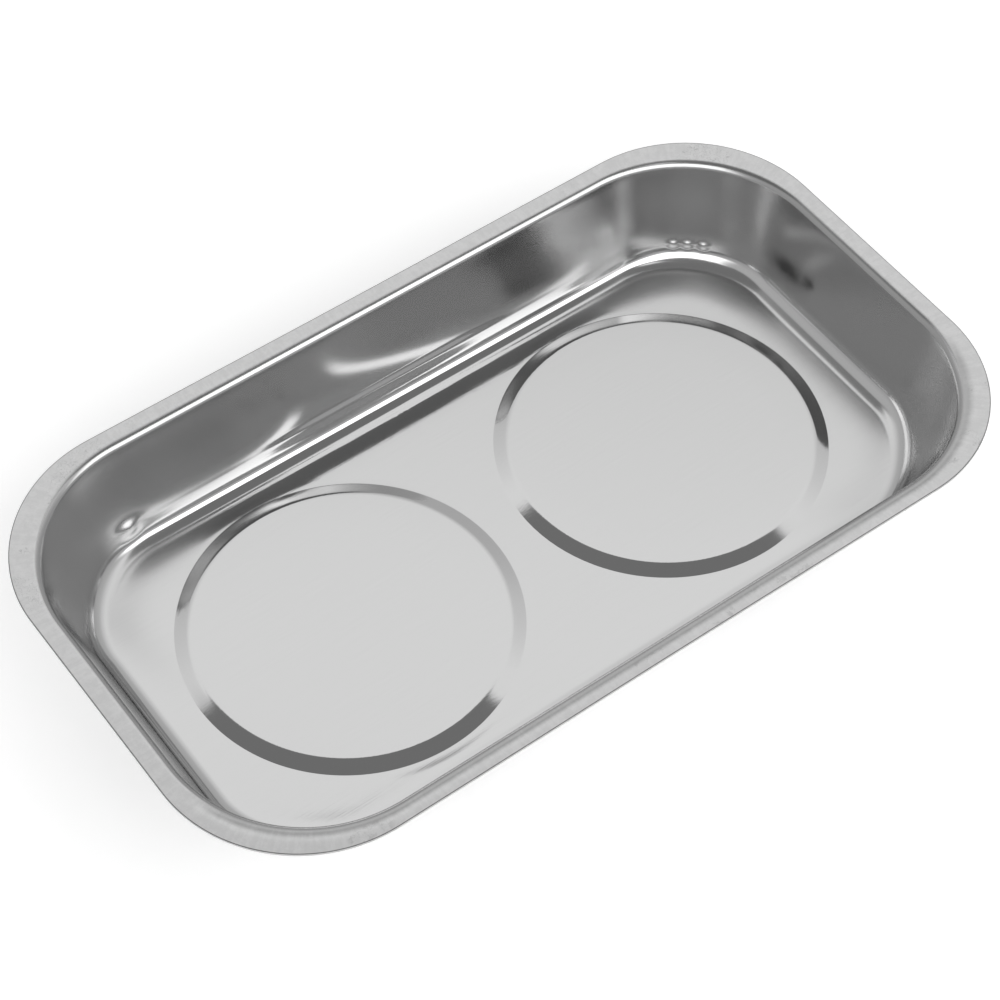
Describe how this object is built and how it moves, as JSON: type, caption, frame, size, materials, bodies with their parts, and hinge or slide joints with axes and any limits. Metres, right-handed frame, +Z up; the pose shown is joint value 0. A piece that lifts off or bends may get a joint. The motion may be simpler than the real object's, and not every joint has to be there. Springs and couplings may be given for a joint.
{
  "type": "magnetic parts tray",
  "caption": "Shallow rectangular stainless tray with a turned-out rim, sloping walls and raised round pads over rubber-booted ring magnets that grip a steel surface and hold small parts.",
  "frame": {"origin": "on the ground, under the middle of the tray, at the soles of the rubber boots", "axes": "+X along the tray's length, +Y across its width, +Z up out of its open side"},
  "size_m": [0.24, 0.137, 0.04],
  "materials": {
    "stainless": "bright drawn stainless sheet, matt and mottled on the rim",
    "boot_rubber": "black moulded rubber, satin",
    "ferrite": "ground ferrite, dark grey and dull",
    "plate_steel": "zinc-plated pressed steel",
    "adhesive": "cured adhesive"
  },
  "bodies": {
    "root": {"tray": "stainless", "left_bond_ring": "adhesive", "left_pole_plate": "plate_steel", "left_magnet_ring": "ferrite", "left_boot": "boot_rubber", "right_bond_ring": "adhesive", "right_pole_plate": "plate_steel", "right_magnet_ring": "ferrite", "right_boot": "boot_rubber"}
  },
  "joints": []
}
